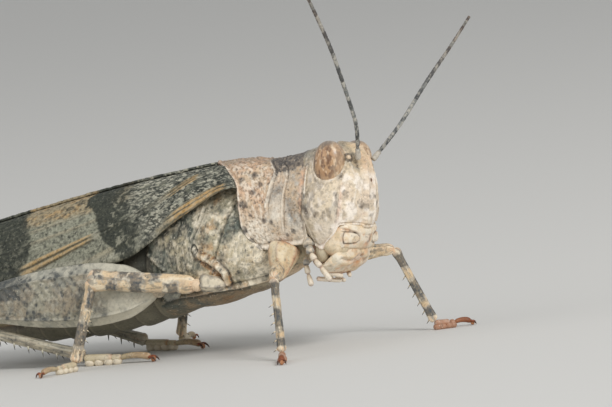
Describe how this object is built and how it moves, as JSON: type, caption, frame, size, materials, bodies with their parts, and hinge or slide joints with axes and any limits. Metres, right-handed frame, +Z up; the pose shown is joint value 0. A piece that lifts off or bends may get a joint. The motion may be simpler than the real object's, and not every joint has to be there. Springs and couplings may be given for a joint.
{
  "type": "sand grasshopper",
  "caption": "Still, life-size sand grasshopper standing alert with folded wings, raised feelers and banded legs.",
  "frame": {"origin": "on the floor, under the middle of the whole animal's box", "axes": "+X forwards along the body, out of the face; +Y to the animal's left; +Z up"},
  "size_m": [0.0292, 0.0144, 0.0176],
  "materials": {
    "head": "waxy cream cuticle with fine grey-brown dots",
    "thorax": "rough sand-coloured cuticle with grey mottling",
    "abdomen": "smooth satin cuticle, pale below",
    "tegmen": "leathery forewing with two dark bands and straw-coloured veins",
    "hindwing": "thin folded membrane",
    "leg": "satin cuticle with slate bands",
    "tarsus": "satin, red-brown at the claws",
    "eye": "glossy tan with brown streaks",
    "antenna": "dark grey and cream rings",
    "palp": "smooth cream"
  },
  "bodies": {
    "root": {"head": "head", "clypeus": "head", "labrum": "head", "labium": "palp", "eye_right": "eye", "mandible_right": "head", "maxillary_palp_right": "palp", "labial_palp_right": "palp", "antenna_right": "antenna", "eye_left": "eye", "mandible_left": "head", "maxillary_palp_left": "palp", "labial_palp_left": "palp", "antenna_left": "antenna", "pronotum": "thorax", "thorax": "thorax", "abdomen": "abdomen", "ovipositor": "abdomen", "tegmen_right": "tegmen", "hindwing_right": "hindwing", "tegmen_left": "tegmen", "hindwing_left": "hindwing", "coxa_fore_right": "leg", "femur_fore_right": "leg", "tibia_fore_right": "leg", "tarsus_fore_right": "tarsus", "coxa_fore_left": "leg", "femur_fore_left": "leg", "tibia_fore_left": "leg", "tarsus_fore_left": "tarsus", "coxa_mid_right": "leg", "femur_mid_right": "leg", "tibia_mid_right": "leg", "tarsus_mid_right": "tarsus", "coxa_hind_right": "leg", "femur_hind_right": "leg", "tibia_hind_right": "leg", "tarsus_hind_right": "tarsus", "coxa_mid_left": "leg", "femur_mid_left": "leg", "tibia_mid_left": "leg", "tarsus_mid_left": "tarsus", "coxa_hind_left": "leg", "femur_hind_left": "leg", "tibia_hind_left": "leg", "tarsus_hind_left": "tarsus"}
  },
  "joints": []
}
